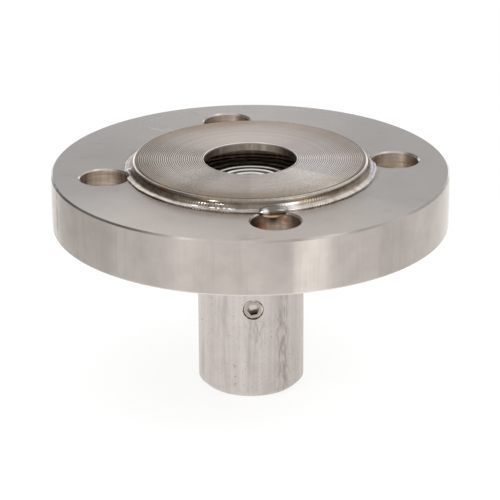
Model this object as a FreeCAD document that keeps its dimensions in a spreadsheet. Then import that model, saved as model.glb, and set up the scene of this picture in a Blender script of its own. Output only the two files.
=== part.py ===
# Flanged diaphragm seal for a pressure gauge, in millimetres.
# A flange ring to the DN 25 pattern is welded round a capsule: a raised-face ring with the process port,
# a corrugated foil diaphragm and the disc that backs it. A stem of drawn bar under the capsule holds the
# gauge thread and a radial fill port, which a soft pad and a set screw close.
# The origin is the centre of the stem's foot, +Z runs up to the gasket face, and the bolt holes lie on X and Y.
import FreeCAD, Part
import os
import re
import Sketcher

# Driving dimensions, by the piece that they belong to
SIZES = {
    # Flange ring
    "flange_dia": 115,
    "flange_plate": 16,
    "flange_edge": 0.7,
    "flange_back_edge": 0.4,
    "bolt_count": 4,
    "bolt_hole_dia": 14,
    "hole_land": 1.5,
    # Capsule as a whole, and its place in the flange ring
    "capsule_dia": 68,
    "capsule_play": 0.15,
    "capsule_recess": 1,
    "face_height": 3.2,
    "face_edge": 0.3,
    # Process port and the chamber under its lip
    "port_dia": 27,
    "port_lip": 2.5,
    "chamber_dia": 49,
    "chamber_height": 4.5,
    # Foil diaphragm and the bed that backs it
    "foil": 0.1,
    "wave_start": 6,
    "wave_pitch": 2.9,
    "wave_count": 5,
    "wave_height": 0.6,
    "fluid_gap": 0.3,
    # Stem
    "stem_dia": 31,
    "stem_length": 50,
    "stem_seat": 1.5,
    "stem_seat_play": 0.1,
    "foot_chamfer": 1.85,
    "passage_dia": 4,
    "thread_bore": 18.63,
    "thread_depth": 19,
    "thread_mouth": 0.75,
    # Fill port, its pad and its set screw
    "fill_height": 28.1,
    "fill_turn": -96.86,
    "bleed_dia": 2,
    "pad_thickness": 1.5,
    "pad_play": 0.1,
    "screw_dia": 6,
    "screw_play": 0.05,
    "screw_length": 6,
    "screw_recess": 0.5,
    "screw_edge": 0.4,
    "socket_width": 3,
    "socket_depth": 2.5,
    "socket_turn": 10,
    # Weld beads
    "face_bead_width": 2.4,
    "face_bead_height": 2.2,
    "stem_bead": 1.5,
}

# Places and spans that follow from the driving dimensions
CAPSULE_R = "capsule_dia / 2"
SEAT_R = "(capsule_dia / 2 + capsule_play)"
BOLT_CIRCLE_R = "(capsule_dia + bolt_hole_dia) / 2 + hole_land"
STEM_R = "stem_dia / 2"
FRONT = "stem_length + flange_plate"
FOIL_DROP = "(port_lip + chamber_height - face_height)"
CAPSULE_BACK = "(stem_length + capsule_recess)"
BACKING_HEIGHT = f"({FRONT} - {FOIL_DROP} - foil / 2 - {CAPSULE_BACK})"
STEM_TOP = f"({CAPSULE_BACK} + stem_seat)"
SCREW_INNER = f"({STEM_R} - screw_recess - screw_length)"
FILL_FLOOR = f"({SCREW_INNER} - pad_thickness)"
OVERRUN = 1  # how far a cutting outline runs past the face that it enters

doc = FreeCAD.newDocument("gauge_diaphragm_seal")
sheet = doc.addObject("Spreadsheet::Sheet", "sizes")
for row, (alias, value) in enumerate(SIZES.items(), start=1):
    sheet.set(f"A{row}", alias)
    sheet.set(f"B{row}", str(value))
    sheet.setAlias(f"B{row}", alias)
doc.recompute()


def bound(formula):
    """The formula with each driving dimension's name pointing to its cell."""
    return re.sub(r"[a-z_]+", lambda word: f"sizes.{word[0]}" if word[0] in SIZES else word[0], formula)


def measure(formula):
    """What the formula gives at the sheet's present values."""
    return float(sheet.evalExpression(bound(formula)))


def new_body(label, lift="0", turn="0", out="0"):
    """A piece of its own: raised along Z, turned about Z, and moved out along its turned X, all by formulas."""
    body = doc.addObject("PartDesign::Body", label)
    body.Label = label
    body.setExpression("Placement.Base.x", bound(f"{out} * cos({turn})"))
    body.setExpression("Placement.Base.y", bound(f"{out} * sin({turn})"))
    body.setExpression("Placement.Base.z", bound(lift))
    body.setExpression("Placement.Rotation.Angle", bound(turn))
    return body


def origin_part(body, role):
    """The body's own base plane or axis with that role."""
    return next(part for part in body.Origin.OriginFeatures if part.Role == role)


def new_sketch(body, name, plane, corners, shift=("0", "0", "0"), turn="0"):
    """A closed outline on a base plane of the body, with every corner, and the sketch's own shift and turn,
    bound to a formula. A corner is (across, up)."""
    sketch = body.newObject("Sketcher::SketchObject", name)
    sketch.AttachmentSupport = (origin_part(body, plane), [""])
    sketch.MapMode = "FlatFace"
    for axis, formula in zip("xyz", shift):
        sketch.setExpression(f"AttachmentOffset.Base.{axis}", bound(formula))
    sketch.setExpression("AttachmentOffset.Rotation.Angle", bound(turn))
    spots = [FreeCAD.Vector(measure(across), measure(up), 0) for across, up in corners]
    for start, stop in zip(spots, spots[1:] + spots[:1]):
        sketch.addGeometry(Part.LineSegment(start, stop), False)
    for index, (across, up) in enumerate(corners):
        following = (index + 1) % len(corners)
        sketch.addConstraint(Sketcher.Constraint("Coincident", index, 2, following, 1))
        pin_corner(sketch, index, "DistanceX", across)
        pin_corner(sketch, index, "DistanceY", up)
    sketch.Visibility = False
    return sketch


def pin_corner(sketch, edge, kind, formula):
    """Fixes one coordinate of an edge's start, measured from the sketch's origin, by a formula."""
    value = measure(formula)
    if abs(value) < 1e-9:
        axis = -2 if kind == "DistanceX" else -1
        sketch.addConstraint(Sketcher.Constraint("PointOnObject", edge, 1, axis))
        return
    if value > 0:
        index = sketch.addConstraint(Sketcher.Constraint(kind, -1, 1, edge, 1, value))
    else:
        index = sketch.addConstraint(Sketcher.Constraint(kind, edge, 1, -1, 1, -value))
        formula = f"-({formula})"
    sketch.setExpression(f"Constraints[{index}]", bound(formula))


def turn_sketch(body, kind, name, sketch, axis):
    """A full turn of the sketch about one of its own axes, which adds (Revolution) or cuts (Groove)."""
    feature = body.newObject(f"PartDesign::{kind}", name)
    feature.Profile = sketch
    feature.ReferenceAxis = (sketch, [axis])
    feature.Angle = 360
    return feature


def turned_piece(label, corners, lift="0", turn="0"):
    """A body turned about Z from one outline."""
    body = new_body(label, lift, turn)
    outline = new_sketch(body, f"{label}_outline", "XZ_Plane", corners)
    turn_sketch(body, "Revolution", f"{label}_turned", outline, "V_Axis")
    return body


def drill_bolt_holes(body, name, low, high):
    """The ring of plain bolt holes between two heights."""
    radius = "bolt_hole_dia / 2"
    corners = [("0", low), (radius, low), (radius, high), ("0", high)]
    outline = new_sketch(body, f"{name}_outline", "XZ_Plane", corners, shift=(BOLT_CIRCLE_R, "0", "0"))
    hole = turn_sketch(body, "Groove", name, outline, "V_Axis")
    ring = body.newObject("PartDesign::PolarPattern", f"{name}_ring")
    ring.Originals = [hole]
    ring.Axis = (origin_part(body, "Z_Axis"), [""])
    ring.Angle = 360
    ring.setExpression("Occurrences", bound("bolt_count"))
    body.Tip = ring


def corrugation(level):
    """Corners of the pressed wave, from the flat centre out to the flat rim, about a level."""
    corners = [("wave_start", level)]
    for step in range(2 * SIZES["wave_count"]):
        sign = "+" if step % 2 == 0 else "-"
        corners.append((f"wave_start + {2 * step + 1} * wave_pitch / 4", f"{level} {sign} wave_height / 2"))
    corners.append(("wave_start + wave_count * wave_pitch", level))
    return corners


def build_flange():
    """Plate ring bored for the capsule, with the ring of bolt holes."""
    body = turned_piece(
        "flange",
        [
            (SEAT_R, "0"),
            ("flange_dia / 2 - flange_back_edge", "0"),
            ("flange_dia / 2", "flange_back_edge"),
            ("flange_dia / 2", "flange_plate - flange_edge"),
            ("flange_dia / 2 - flange_edge", "flange_plate"),
            (SEAT_R, "flange_plate"),
        ],
        lift="stem_length",
    )
    drill_bolt_holes(body, "bolt_hole", f"-{OVERRUN}", f"flange_plate + {OVERRUN}")


def build_process_ring():
    """Raised gasket face, process port with its lip, and the chamber wall down to the foil."""
    turned_piece(
        "process_ring",
        [
            ("port_dia / 2", "face_height - port_lip"),
            ("chamber_dia / 2", "face_height - port_lip"),
            ("chamber_dia / 2", f"foil / 2 - {FOIL_DROP}"),
            (CAPSULE_R, f"foil / 2 - {FOIL_DROP}"),
            (CAPSULE_R, "face_height - face_edge"),
            (f"{CAPSULE_R} - face_edge", "face_height"),
            ("port_dia / 2", "face_height"),
        ],
        lift=FRONT,
    )


def build_diaphragm():
    """Corrugated foil, held at its flat rim between the ring and the backing disc."""
    above = [("0", "foil / 2"), *corrugation("foil / 2"), (CAPSULE_R, "foil / 2")]
    below = [(CAPSULE_R, "-foil / 2"), *reversed(corrugation("-foil / 2")), ("0", "-foil / 2")]
    turned_piece("diaphragm", above + below, lift=f"{FRONT} - {FOIL_DROP}")


def build_backing_disc():
    """Disc under the foil, with a shallow bed for the fill fluid and a seat for the stem below."""
    bed = f"{BACKING_HEIGHT} - wave_height / 2 - fluid_gap"
    seat = f"{STEM_R} + stem_seat_play"
    turned_piece(
        "backing_disc",
        [
            (seat, "0"),
            (CAPSULE_R, "0"),
            (CAPSULE_R, BACKING_HEIGHT),
            ("chamber_dia / 2", BACKING_HEIGHT),
            ("chamber_dia / 2", bed),
            ("passage_dia / 2", bed),
            ("passage_dia / 2", "stem_seat"),
            (seat, "stem_seat"),
        ],
        lift=CAPSULE_BACK,
    )


def build_stem():
    """Drawn bar with the gauge thread in its foot, a passage up to the capsule and the fill port in its side."""
    thread = "thread_bore / 2"
    body = turned_piece(
        "stem",
        [
            (f"{thread} + thread_mouth", "0"),
            (f"{STEM_R} - foot_chamfer", "0"),
            (STEM_R, "foot_chamfer"),
            (STEM_R, STEM_TOP),
            ("passage_dia / 2", STEM_TOP),
            ("passage_dia / 2", "thread_depth"),
            (thread, "thread_depth"),
            (thread, "thread_mouth"),
        ],
        turn="fill_turn",
    )
    port = new_sketch(
        body,
        "fill_port_outline",
        "XZ_Plane",
        [
            ("0", "0"),
            (f"{STEM_R} + {OVERRUN}", "0"),
            (f"{STEM_R} + {OVERRUN}", "screw_dia / 2"),
            (FILL_FLOOR, "screw_dia / 2"),
            (FILL_FLOOR, "bleed_dia / 2"),
            ("0", "bleed_dia / 2"),
        ],
        shift=("0", "fill_height", "0"),
    )
    turn_sketch(body, "Groove", "fill_port", port, "H_Axis")


def build_sealing_pad():
    """Soft disc on the fill port's floor, over the bleed hole."""
    body = new_body("sealing_pad", lift="fill_height", turn="fill_turn", out=FILL_FLOOR)
    radius = "screw_dia / 2 - pad_play"
    corners = [("0", "0"), ("pad_thickness", "0"), ("pad_thickness", radius), ("0", radius)]
    outline = new_sketch(body, "sealing_pad_outline", "XZ_Plane", corners)
    turn_sketch(body, "Revolution", "sealing_pad_turned", outline, "H_Axis")


def build_fill_screw():
    """Set screw with a hexagon socket, its outer end a little below the stem's surface."""
    body = new_body("fill_screw", lift="fill_height", turn="fill_turn", out=SCREW_INNER)
    radius = "(screw_dia / 2 - screw_play)"
    outline = new_sketch(
        body,
        "fill_screw_outline",
        "XZ_Plane",
        [
            ("0", "0"),
            ("screw_length", "0"),
            ("screw_length", f"{radius} - screw_edge"),
            ("screw_length - screw_edge", radius),
            ("0", radius),
        ],
    )
    turn_sketch(body, "Revolution", "fill_screw_turned", outline, "H_Axis")
    across_corners = "socket_width / sqrt(3)"
    hexagon = new_sketch(
        body,
        "socket_outline",
        "YZ_Plane",
        [(f"{across_corners} * cos({60 * side})", f"{across_corners} * sin({60 * side})") for side in range(6)],
        shift=("0", "0", "screw_length"),
        turn="socket_turn",
    )
    socket = body.newObject("PartDesign::Pocket", "hex_socket")
    socket.Profile = hexagon
    socket.setExpression("Length", bound("socket_depth"))


def build_face_weld():
    """Fillet bead between the raised face and the flange's front, broken off at the bolt holes."""
    body = turned_piece(
        "face_weld",
        [
            (CAPSULE_R, "0"),
            (f"{CAPSULE_R} + face_bead_width", "0"),
            (CAPSULE_R, "face_bead_height"),
        ],
        lift=FRONT,
    )
    drill_bolt_holes(body, "hole_room", f"-{OVERRUN}", f"face_bead_height + {OVERRUN}")


def build_stem_weld():
    """Fillet bead between the stem and the capsule's back."""
    turned_piece(
        "stem_weld",
        [
            (STEM_R, "-stem_bead"),
            (f"{STEM_R} + stem_bead", "0"),
            (STEM_R, "0"),
        ],
        lift=CAPSULE_BACK,
    )


def check(pieces):
    """Stops the build if anything in the document failed or a piece isn't one valid solid."""
    failed = [item.Name for item in doc.Objects if {"Invalid", "Error"} & set(item.State)]
    if failed:
        raise RuntimeError(f"these failed to compute: {failed}")
    for piece in pieces:
        if piece.Shape.isNull() or not piece.Shape.isValid() or len(piece.Shape.Solids) != 1:
            raise RuntimeError(f"{piece.Label} isn't one valid solid")


def export(pieces):
    """Writes each piece to a file that carries its label."""
    os.makedirs("parts", exist_ok=True)
    for piece in pieces:
        piece.Shape.exportStep(f"parts/{piece.Label}.step")
        print(f"{piece.Label}: {piece.Shape.Volume / 1000:.2f} cm3")


for build in (
    build_flange,
    build_process_ring,
    build_diaphragm,
    build_backing_disc,
    build_stem,
    build_sealing_pad,
    build_fill_screw,
    build_face_weld,
    build_stem_weld,
):
    build()
doc.recompute()
bodies = [item for item in doc.Objects if item.TypeId == "PartDesign::Body"]
check(bodies)
export(bodies)
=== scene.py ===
# %% [markdown]
# # A flanged diaphragm seal, dressed for its portrait
# A diaphragm seal keeps a pressure gauge clear of what flows in a pipe. A turned steel ring bolts to the
# pipe's flange, a thin corrugated foil in the middle feels the pressure, and the stem below takes the gauge.
# The solids come from a CAD model. Here each one gets the detail that only shows up close: turning marks,
# gasket grooves, a rippled weld, threads and broken edges. Lengths are written in millimetres and turned into
# metres where Blender needs them. +Z runs up through the port, and the bolt holes lie on X and Y.

# %% Load the frame
import math
from functools import reduce

import bpy
from mathutils import Euler, Matrix, Vector


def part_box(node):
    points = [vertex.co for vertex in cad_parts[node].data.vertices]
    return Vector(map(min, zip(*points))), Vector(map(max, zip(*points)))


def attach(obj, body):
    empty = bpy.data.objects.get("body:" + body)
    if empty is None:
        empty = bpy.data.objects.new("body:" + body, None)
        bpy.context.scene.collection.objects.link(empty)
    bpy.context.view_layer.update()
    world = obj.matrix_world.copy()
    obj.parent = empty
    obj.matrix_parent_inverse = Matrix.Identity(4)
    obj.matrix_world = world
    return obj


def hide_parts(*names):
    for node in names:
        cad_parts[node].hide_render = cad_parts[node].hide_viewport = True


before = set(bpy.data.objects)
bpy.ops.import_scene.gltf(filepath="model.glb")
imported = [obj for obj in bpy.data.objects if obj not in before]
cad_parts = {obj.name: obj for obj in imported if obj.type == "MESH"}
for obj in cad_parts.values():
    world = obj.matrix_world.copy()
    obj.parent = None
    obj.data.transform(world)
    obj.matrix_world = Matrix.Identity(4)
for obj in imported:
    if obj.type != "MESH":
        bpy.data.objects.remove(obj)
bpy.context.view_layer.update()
MM = 0.001
TURN = 2 * math.pi
print("CAD nodes:", ", ".join(sorted(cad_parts)))

# %% [markdown]
# ## The main sizes
# A draughtsman would read these from the drawing. They repeat the CAD model's own numbers, so every new
# piece lands on the solid that it stands for. The next cell compares them with the loaded nodes.

# %% Sizes from the drawing
FLANGE_R, BORE_R, BACK_Z, FRONT_Z = 57.5, 34.15, 50.0, 66.0
HOLE_R, HOLE_CIRCLE_R = 7.0, 42.5
CAPSULE_R, CAPSULE_BACK_Z, FACE_Z = 34.0, 51.0, 69.2
PORT_R, LIP_Z, CHAMBER_R = 13.5, 66.7, 24.5
FOIL_Z, FOIL = 62.2, 0.1
WAVE_START, WAVE_PITCH, WAVES, WAVE_HEIGHT = 6.0, 2.9, 5, 0.6
STEM_R, STEM_TOP_Z, SEAT_R = 15.5, 52.5, 15.6
PASSAGE_R, THREAD_R, THREAD_END_Z = 2.0, 9.315, 19.0
FILL_Z, FILL_TURN, FILL_R, FILL_FLOOR, BLEED_R = 28.1, math.radians(-96.86), 3.0, 7.5, 1.0
for node, reach, top in (
    ("flange", FLANGE_R, FRONT_Z),
    ("process_ring", CAPSULE_R, FACE_Z),
    ("diaphragm", CAPSULE_R, FOIL_Z + (FOIL + WAVE_HEIGHT) / 2),
    ("stem", STEM_R, STEM_TOP_Z),
):
    low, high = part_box(node)
    print(f"{node}: reach {high.x / MM:.2f} mm for {reach}, top {high.z / MM:.2f} mm for {top}")

# %% [markdown]
# ## The camera
# The photograph was taken from about 22 degrees above the table with a long lens, from 0.82 m away. That
# keeps the circles almost free of perspective. Elevation, distance and focal length were worked out from the
# flange's ellipses. The camera stands 9 degrees round from the front bolt hole and leans a quarter degree.

# %% Camera
CAMERA_TURN, CAMERA_RISE, CAMERA_LEAN = math.radians(-9.35), math.radians(21.741), math.radians(-0.267)
CAMERA_AIM = Vector((-0.197, 0.033, 40.64)) * MM
CAMERA_AWAY, CAMERA_LENS = 822.73, 202.7
backwards = Vector((
    math.sin(CAMERA_TURN) * math.cos(CAMERA_RISE),
    -math.cos(CAMERA_TURN) * math.cos(CAMERA_RISE),
    math.sin(CAMERA_RISE),
))
bpy.ops.object.camera_add(location=CAMERA_AIM + CAMERA_AWAY * MM * backwards)
camera = bpy.context.object
level = Euler((math.pi / 2 - CAMERA_RISE, 0, CAMERA_TURN)).to_matrix()
camera.rotation_euler = (level @ Matrix.Rotation(CAMERA_LEAN, 3, "Z")).to_euler()
camera.data.lens = CAMERA_LENS
bpy.context.scene.camera = camera
bpy.context.scene.view_settings.view_transform = "Standard"
print("camera stands at", [round(value, 4) for value in camera.location])

# %% [markdown]
# ## Node helpers
# Every surface is built from shader nodes. One helper adds a node and fills its sockets: a socket gets
# either a plain value or a link from another node. The others wrap it, so that a formula reads as one.

# %% Node helpers
def add_node(owner, kind, inputs=None, output=0, **settings):
    """Adds a shader node to its owner's tree, sets its options and sockets, and gives back an output. The
    owner is the node tree itself, or a node or a socket in it."""
    tree = owner.id_data
    node = tree.nodes.new(f"ShaderNode{kind}")
    for option, value in settings.items():
        setattr(node, option, value)
    for socket, value in (inputs or {}).items():
        if isinstance(value, bpy.types.NodeSocket):
            tree.links.new(value, node.inputs[socket])
        else:
            node.inputs[socket].default_value = value
    return node.outputs[output] if len(node.outputs) else None


def calculate(operation, *values):
    """A Math node on one to three values or sockets."""
    owner = next(value for value in values if isinstance(value, bpy.types.NodeSocket))
    return add_node(owner, "Math", dict(enumerate(values)), operation=operation)


def product(*amounts):
    """Several amounts multiplied with one another."""
    return reduce(lambda total, amount: calculate("MULTIPLY", total, amount), amounts)


def largest(*amounts):
    """The largest of several amounts."""
    return reduce(lambda most, amount: calculate("MAXIMUM", most, amount), amounts)


def on_vectors(operation, first, second, output=0):
    """A Vector Math node on two places or colours. Its output 1 holds a number."""
    return add_node(first, "VectorMath", {0: first, 1: second}, output, operation=operation)


def length(across, along):
    """The length of two spans at right angles, taken together."""
    flat = add_node(across, "CombineXYZ", {0: across, 1: along})
    return add_node(flat, "VectorMath", {0: flat}, output=1, operation="LENGTH")


def blend_numbers(amount, first, second):
    """The first number turning into the second as amount goes from 0 to 1."""
    return add_node(amount, "Mix", {0: amount, 2: first, 3: second})


def blend_colours(amount, first, second):
    """The first colour turning into the second as amount goes from 0 to 1."""
    sockets = {0: amount}
    for index, colour in ((6, first), (7, second)):
        sockets[index] = colour if isinstance(colour, bpy.types.NodeSocket) else (*colour, 1)
    return add_node(amount, "Mix", sockets, output=2, data_type="RGBA")


def spread(value, low, high, out_low=0.0, out_high=1.0):
    """Rescales a value from one range to another, held at its ends."""
    sockets = {"Value": value, "From Min": low, "From Max": high, "To Min": out_low, "To Max": out_high}
    return add_node(value, "MapRange", sockets)


def noise(source, scale, detail):
    """Blender's noise, read through space from a place, or along a line from a number."""
    socket, dimensions = ("Vector", "3D") if source.type == "VECTOR" else ("W", "1D")
    inputs = {"Scale": scale, "Detail": detail, socket: source}
    return add_node(source, "TexNoise", inputs, noise_dimensions=dimensions)


print("node helpers ready")

# %% [markdown]
# ## Metal helpers
# A metal starts with the values that are the same all over it. Layers are then laid over its first colour.
# Each layer says how it acts, where and with which colour: tint multiplies, as a stain or a painted shade
# does, and cover replaces, as dirt or a painted highlight does. The last helper links the colour, the
# roughness and a fine relief.

# %% Metal helpers
def new_metal(name, roughness, grain=0.0, grain_turn=0.0):
    """A bare metal. Grain stretches its highlights, across turning marks when grain_turn is a quarter."""
    material = bpy.data.materials.new(name)
    material.use_nodes = True
    tree = material.node_tree
    shader = tree.nodes["Principled BSDF"]
    shader.inputs["Metallic"].default_value = 1.0
    shader.inputs["Roughness"].default_value = roughness
    shader.inputs["Anisotropic"].default_value = grain
    shader.inputs["Anisotropic Rotation"].default_value = grain_turn
    if grain:
        round_axis = add_node(tree, "Tangent", direction_type="RADIAL", axis="Z")
        tree.links.new(round_axis, shader.inputs["Tangent"])
    return material, shader


def tint(colour, amount, factors):
    """Multiplies a colour by factors, as far as amount goes."""
    return on_vectors("MULTIPLY", colour, blend_colours(amount, (1.0, 1.0, 1.0), factors))


def cover(colour, amount, new):
    """Replaces a colour by a new one, as far as amount goes."""
    return blend_colours(amount, colour, new)


def paint(colour, *layers):
    """Lays layers over a colour in turn. Each is tint or cover, the amount, and its colour."""
    for act, amount, value in layers:
        colour = act(colour, amount, value)
    return colour


def finish_metal(shader, colour, roughness=None, relief=None, relief_mm=0.01):
    """Links what varies over the surface to the shader: colour, roughness and fine relief."""
    links = shader.id_data.links
    links.new(colour, shader.inputs["Base Color"])
    if roughness is not None:
        links.new(roughness, shader.inputs["Roughness"])
    if relief is not None:
        bump = add_node(relief, "Bump", {"Height": relief, "Distance": relief_mm * MM, "Strength": 1.0})
        links.new(bump, shader.inputs["Normal"])


print("metal helpers ready")

# %% [markdown]
# ## Where a layer lies
# A layer's place is given as a drawing would give it: by radius and height, by a bearing round the axis, by
# the distance from a bolt hole or from a single spot, or as a scratch between two places.

# %% Where a layer lies
FRONT_SIDE = -99  # the bearing that faces the camera, in degrees from +X


def where(shader):
    """Place on the piece: its coordinate, radius from the seal's axis, height and angle, in millimetres."""
    metres = add_node(shader, "TexCoord", output=3)
    place = add_node(metres, "VectorMath", {0: metres, "Scale": 1 / MM}, operation="SCALE")
    x, y, height = add_node(place, "SeparateXYZ", {0: place}).node.outputs
    return place, length(x, y), height, calculate("ARCTAN2", y, x)


def drawn_out(place, upwards, sideways=1.0):
    """The place with its axes shrunk, so that a noise read from it is drawn out along them."""
    return on_vectors("MULTIPLY", place, (sideways, sideways, upwards))


def scratch(place, start, end, width):
    """1 along a straight scratch between two places in millimetres, fading towards its ends."""
    start, end = Vector(start), Vector(end)
    along = (end - start).normalized()
    offset = on_vectors("SUBTRACT", place, (start + end) / 2)
    spans = []
    for line, half in ((along, (end - start).length / 2), (along.cross(Vector((0, 0, 1))), width)):
        reach = calculate("ABSOLUTE", on_vectors("DOT_PRODUCT", offset, line, 1))
        spans.append(spread(reach, half, half * 0.5))
    return product(*spans)


def facing_up(shader):
    """1 on faces that look up or down, 0 on upright ones."""
    normal = add_node(shader, "TexCoord", output=1)
    up = add_node(normal, "SeparateXYZ", {0: normal}).node.outputs[2]
    return spread(calculate("ABSOLUTE", up), 0.6, 0.8)


def beside_hole(place):
    """Distance from the nearest bolt hole's axis, in millimetres."""
    x, y, _ = add_node(place, "SeparateXYZ", {0: place}).node.outputs
    spans = []
    for along, across in ((x, y), (y, x)):
        off = calculate("SUBTRACT", calculate("ABSOLUTE", along), HOLE_CIRCLE_R)
        spans.append(length(off, across))
    return calculate("MINIMUM", *spans)


def bearing(angle, degrees):
    """How far a place lies from a bearing round the axis, from 0 to 180 degrees."""
    offset = calculate("MULTIPLY_ADD", angle, 180 / math.pi, 180.0 - degrees)
    wrapped = calculate("FLOORED_MODULO", offset, 360.0)
    return calculate("ABSOLUTE", calculate("SUBTRACT", wrapped, 180.0))


def sector(angle, degrees, edge, core):
    """1 within a core of degrees to both sides of a bearing, falling to 0 at the edge."""
    return spread(bearing(angle, degrees), edge, core)


def near_spot(place, spot, reach):
    """1 at a spot, falling to 0 at its reach in millimetres."""
    return spread(on_vectors("DISTANCE", place, spot, 1), reach, reach * 0.3)


print("place helpers ready")

# %% [markdown]
# ## Turned steel
# Some light and shade is painted in too: the flat faces are lighter towards the camera and darker behind, a
# thin painted highlight runs round the rim's lower edge, one sector of the front chamfer is darkened as
# painted shade, and the front bolt hole carries a painted shadow under the weld's drip.
# The ring is faced and turned on a lathe. The tool leaves fine circles on the flat faces and fine hoops on
# the rim, far too small to model. A value that depends on radius alone draws the circles, and one that
# depends on height alone draws the hoops. The surface's own normal chooses between them. The highlights are
# stretched across the marks, which gives a turned face its bright and dark sectors. Smudges, hairlines and a
# few scratches come on top, and the drilled walls of the bolt holes are browner and duller than the rest.
# An image could hold all this, but formulas stay sharp from any distance and need no file.

# %% Turned steel
turned_steel, shader = new_metal("turned_steel", 0.2, grain=0.9, grain_turn=0.25)
place, radius, height, angle = where(shader)
flat_face = facing_up(shader)
on_rim = spread(radius, FLANGE_R - 0.75, FLANGE_R - 0.7)
fine_marks = noise(blend_numbers(flat_face, height, radius), 4.0, 3.0)
clouds = noise(place, 0.035, 2.0)
smudges = spread(noise(drawn_out(place, 0.12), 0.16, 4.0), 0.62, 0.75)
hairlines = spread(noise(drawn_out(place, 0.04), 0.9, 3.0), 0.52, 0.72)
mottling = spread(noise(place, 0.22, 5.0), 0.4, 0.65)
# A thin painted highlight along the rim's lower broken edge.
lower_edge_highlight = product(
    spread(height, BACK_Z + 0.45, BACK_Z + 0.4),
    spread(radius, FLANGE_R - 0.6, FLANGE_R - 0.5),
)
# Painted shade: one sector of the front chamfer is darkened to hold down its reflection.
front_chamfer_shade = product(
    sector(angle, -77, 24, 9),
    spread(height, FRONT_Z - 0.6, FRONT_Z - 0.5),
    spread(radius, FLANGE_R - 0.55, FLANGE_R - 0.48),
)
patches = spread(noise(place, 0.3, 3.0), 0.35, 0.6, 0.1, 0.6)
weld_halo = product(spread(radius, 37.9, 36.7), flat_face, patches)
scratches = largest(
    scratch(place, (-24.5, 41.2, FRONT_Z), (-19.5, 36.2, FRONT_Z), 0.5),
    scratch(place, (-19.8, 38.6, FRONT_Z), (-16.2, 35.8, FRONT_Z), 0.45),
)
knocks = scratch(place, (-12.3, -54.6, FRONT_Z), (-5.5, -54.9, FRONT_Z), 0.35)
scuffs = product(
    largest(sector(angle, -172.4, 1.3, 0.4), sector(angle, -176.5, 0.9, 0.3)),
    on_rim,
    spread(height, 50, 54),
    spread(noise(place, 0.5, 5.0), 0.4, 0.56),
)
turned = paint(
    blend_colours(spread(clouds, 0.35, 0.65), (0.475, 0.445, 0.425), (0.52, 0.49, 0.468)),
    (cover, product(fine_marks, 0.12), (0.3, 0.28, 0.26)),
    (cover, product(smudges, 0.35), (0.36, 0.335, 0.31)),
    (cover, product(hairlines, on_rim, 0.22), (0.36, 0.33, 0.31)),
    (tint, product(mottling, on_rim, 0.5), (0.86, 0.855, 0.85)),
    (cover, lower_edge_highlight, (0.62, 0.59, 0.555)),
    # Painted light: the flat faces lighter on the side towards the camera.
    (tint, product(sector(angle, -104, 62, 38), flat_face), (1.21, 1.17, 1.135)),
    (tint, front_chamfer_shade, (0.62, 0.62, 0.62)),
    # Painted shade: the flat faces darker behind.
    (tint, product(sector(angle, 150, 70, 38), flat_face), (0.89, 0.88, 0.89)),
    (tint, weld_halo, (0.72, 0.64, 0.57)),
    (tint, scratches, (1.22, 1.22, 1.22)),
    (tint, knocks, (0.8, 0.78, 0.77)),
    (cover, product(scuffs, 0.75), (0.2, 0.175, 0.155)),
)

from_hole = beside_hole(place)
in_mouth = spread(from_hole, HOLE_R + 0.5, HOLE_R + 0.47)
in_hole = spread(from_hole, HOLE_R + 0.06, HOLE_R + 0.02)
drill_rings = noise(drawn_out(place, 1.7, 0.09), 1.3, 3.0)
rubs = noise(drawn_out(place, 0.15), 0.5, 4.0)
scorch = product(
    largest(near_spot(place, (-2.4, -36.0, 62.3), 2.8), near_spot(place, (3.5, -36.4, 63.4), 2.2)),
    spread(noise(place, 0.9, 2.0), 0.35, 0.6),
)
drilled = paint(
    blend_colours(spread(drill_rings, 0.36, 0.64), (0.56, 0.485, 0.415), (0.74, 0.655, 0.575)),
    (tint, spread(rubs, 0.42, 0.6), (0.78, 0.75, 0.72)),
    # Painted shadow in the front bolt hole: darker towards its left and under the weld's drip.
    (tint, near_spot(place, (-4.8, -38.0, 62.5), 6.0), (0.5, 0.44, 0.39)),
    (tint, near_spot(place, (0.6, -35.6, 64.4), 2.8), (0.16, 0.13, 0.11)),
    (cover, product(scorch, 0.7), (0.42, 0.20, 0.09)),
)
steel_colour = paint(turned, (cover, in_mouth, (0.50, 0.455, 0.415)), (cover, in_hole, drilled))
rim_gloss = spread(noise(place, 0.08, 3.0), 0.3, 0.7, 0.18, 0.23)
gloss = blend_numbers(in_hole, rim_gloss, spread(drill_rings, 0.3, 0.7, 0.28, 0.45))
relief = blend_numbers(in_hole, product(fine_marks, 0.04), drill_rings)
finish_metal(shader, steel_colour, gloss, relief, 0.012)
print("turned steel ready")

# %% [markdown]
# ## Gasket face steel
# The raised face is cut with a coarser spiral so that the gasket bites. Those grooves are real geometry
# further on. This material darkens their valleys, partly as residue and partly as painted shade, less so
# in front, behind, on the right and in a smooth painted highlight sector at the front right. Painted light
# and shade also set the tone of the other sectors. It adds the straw tint that welding heat leaves near the
# rim, painted shade in the first groove and on the shoulder beyond it, and a painted highlight on the port's
# edge. The walls below the face are browner, with painted shade on the port's wall and in the crease by the
# weld.

# %% Gasket face steel
GROOVE_PITCH, GROOVE_DEPTH, GROOVES_R = 0.6, 0.08, CAPSULE_R - 1.1

gasket_steel, shader = new_metal("gasket_face_steel", 0.2, grain=0.5, grain_turn=0.25)
place, radius, height, angle = where(shader)
away = bearing(angle, FRONT_SIDE)
blotches = noise(place, 0.12, 3.0)
slow_rings = noise(radius, 0.35, 2.0)
feed = calculate("DIVIDE", calculate("SUBTRACT", GROOVES_R, radius), GROOVE_PITCH)
feed = calculate("FRACT", feed)
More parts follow.
